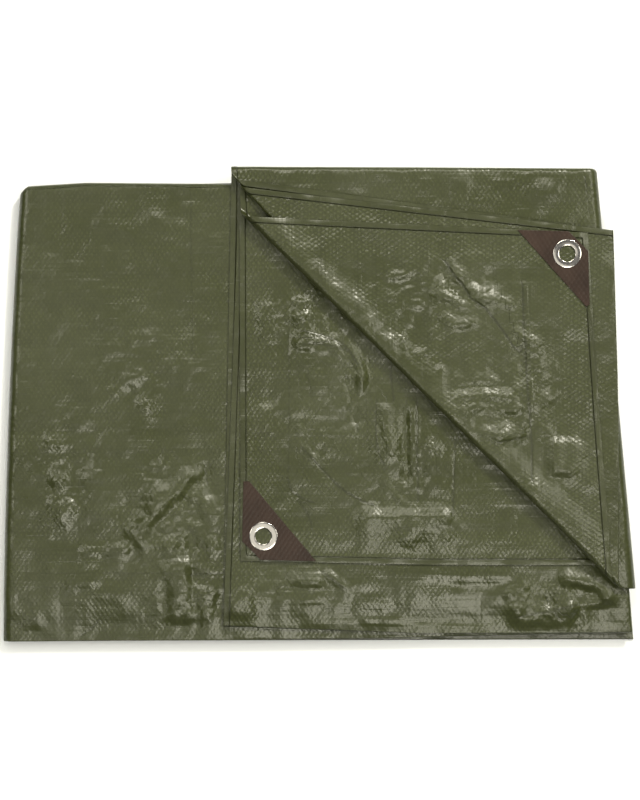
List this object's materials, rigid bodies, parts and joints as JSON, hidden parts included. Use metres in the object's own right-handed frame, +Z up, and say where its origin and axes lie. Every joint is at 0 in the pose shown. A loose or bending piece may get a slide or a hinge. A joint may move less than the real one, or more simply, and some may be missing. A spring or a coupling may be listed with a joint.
{
  "type": "folded tarpaulin",
  "caption": "Woven tarpaulin folded into a flat oblong stack, with one corner of the upper plies turned back on the diagonal and metal eyelets in patched corners.",
  "frame": {"origin": "middle of the folded stack in plan, on the surface it lies on", "axes": "+Z up, +X along the longer side towards the edge where the top run turns back, +Y towards the edge opposite the hems"},
  "size_m": [0.5493, 0.4126, 0.0342],
  "materials": {
    "sheet": "olive woven tape under a thin glossy film",
    "patch": "dark brown moulded film",
    "eyelet": "bright rolled metal"
  },
  "bodies": {
    "root": {"tarp_sheet": "sheet", "lower_patch": "patch", "lower_eyelet": "eyelet", "flap_patch": "patch", "flap_eyelet": "eyelet"}
  },
  "joints": []
}
